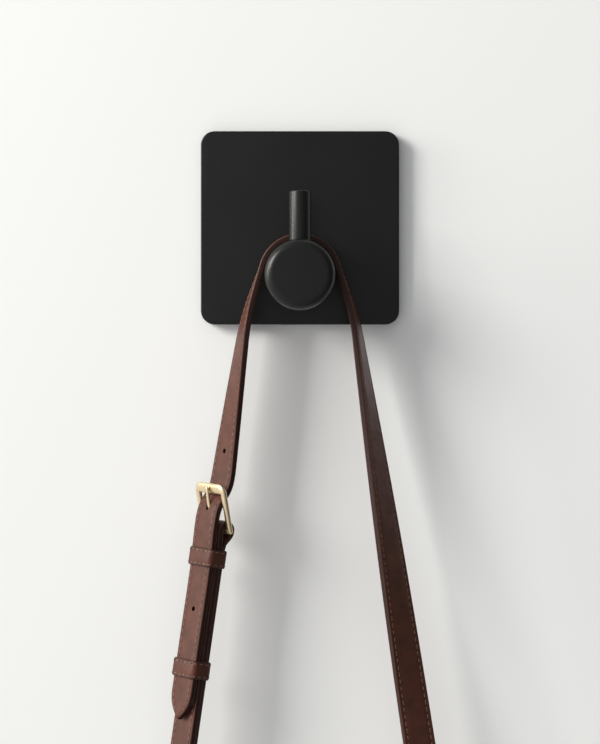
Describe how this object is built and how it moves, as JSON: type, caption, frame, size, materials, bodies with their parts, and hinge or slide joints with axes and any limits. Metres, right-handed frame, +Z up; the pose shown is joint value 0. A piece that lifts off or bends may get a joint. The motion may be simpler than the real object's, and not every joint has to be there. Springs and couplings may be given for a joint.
{
  "type": "leather lead on wall hook",
  "caption": "Square wall plate with a round knob and upright post, and a stitched leather lead with buckle, keepers and swivel bolt snaps hung over the knob.",
  "frame": {"origin": "centre of the wall plate in the plane of the wall, midway between the two wall screws", "axes": "+X to the right, +Y into the wall, +Z up"},
  "size_m": [0.1613, 0.046, 0.4054],
  "materials": {
    "powder_coat": "matte powder coat",
    "zinc_steel": "zinc plated",
    "foam": "closed-cell foam",
    "screw_steel": "black oxide",
    "spring_steel": "bright drawn wire",
    "bridle_leather": "smooth dyed, stitched",
    "lining_leather": "smooth dyed",
    "brass": "pale satin brass"
  },
  "bodies": {
    "wall_hook": {"face_plate": "powder_coat", "wall_gasket": "foam", "mounting_bracket": "zinc_steel", "lock_grub_screw": "screw_steel", "knob": "powder_coat", "knob_fixing_screw": "screw_steel", "anti_rotation_pin": "screw_steel", "upright_post": "powder_coat", "post_stud": "screw_steel"},
    "lead": {"strap_outer": "bridle_leather", "strap_lining": "lining_leather", "buckle_strap_outer": "bridle_leather", "buckle_strap_lining": "lining_leather", "fixed_keeper": "bridle_leather", "end_rivet_posts": "brass", "end_rivet_caps": "brass"},
    "buckle": {"buckle_frame": "brass"},
    "prong": {"prong": "brass"},
    "keeper": {"sliding_keeper": "bridle_leather"},
    "left_eye": {"left_snap_eye": "brass"},
    "left_snap": {"left_snap_body": "brass", "left_snap_spring": "spring_steel"},
    "left_bolt": {"left_snap_bolt": "brass"},
    "right_eye": {"right_snap_eye": "brass"},
    "right_snap": {"right_snap_body": "brass", "right_snap_spring": "spring_steel"},
    "right_bolt": {"right_snap_bolt": "brass"}
  },
  "joints": [
    {"name": "lead_swing", "type": "hinge", "parent": "wall_hook", "child": "lead", "pos_m": [0, -0.0165, -0.0245], "axis": [0, 1, 0], "range_deg": [-10, 10]},
    {"name": "buckle_tilt", "type": "hinge", "parent": "lead", "child": "buckle", "pos_m": [-0.04126, -0.02046, -0.15124], "axis": [0.6141, -0.7873, -0.0544], "range_deg": [0, 3]},
    {"name": "prong_lift", "type": "hinge", "parent": "buckle", "child": "prong", "pos_m": [-0.04126, -0.02046, -0.15124], "axis": [0.6141, -0.7873, -0.0544], "range_deg": [0, 4]},
    {"name": "keeper_slide", "type": "slide", "parent": "lead", "child": "keeper", "axis": [0.1408, 0.0415, 0.9892], "range_m": [-0.015, 0.036]},
    {"name": "left_eye_swing", "type": "hinge", "parent": "lead", "child": "left_eye", "pos_m": [-0.06111, -0.02631, -0.29071], "axis": [0.6141, -0.7873, -0.0544], "range_deg": [-30, 30]},
    {"name": "left_swivel", "type": "hinge", "parent": "left_eye", "child": "left_snap", "pos_m": [-0.06354, -0.02702, -0.30778], "axis": [-0.1408, -0.0415, -0.9892], "continuous": true},
    {"name": "left_bolt_slide", "type": "slide", "parent": "left_snap", "child": "left_bolt", "axis": [0.1408, 0.0415, 0.9892], "range_m": [0, 0.009], "stiffness_N_per_m": 150, "springref_m": -0.006, "deforming": ["left_snap_spring"]},
    {"name": "right_eye_swing", "type": "hinge", "parent": "lead", "child": "right_eye", "pos_m": [0.06337, -0.02765, -0.29022], "axis": [0.9312, 0.3417, 0.1265], "range_deg": [-30, 30]},
    {"name": "right_swivel", "type": "hinge", "parent": "right_eye", "child": "right_snap", "pos_m": [0.06595, -0.02837, -0.30727], "axis": [0.1494, -0.0414, -0.9879], "continuous": true},
    {"name": "right_bolt_slide", "type": "slide", "parent": "right_snap", "child": "right_bolt", "axis": [-0.1494, 0.0414, 0.9879], "range_m": [0, 0.009], "stiffness_N_per_m": 150, "springref_m": -0.006, "deforming": ["right_snap_spring"]}
  ]
}
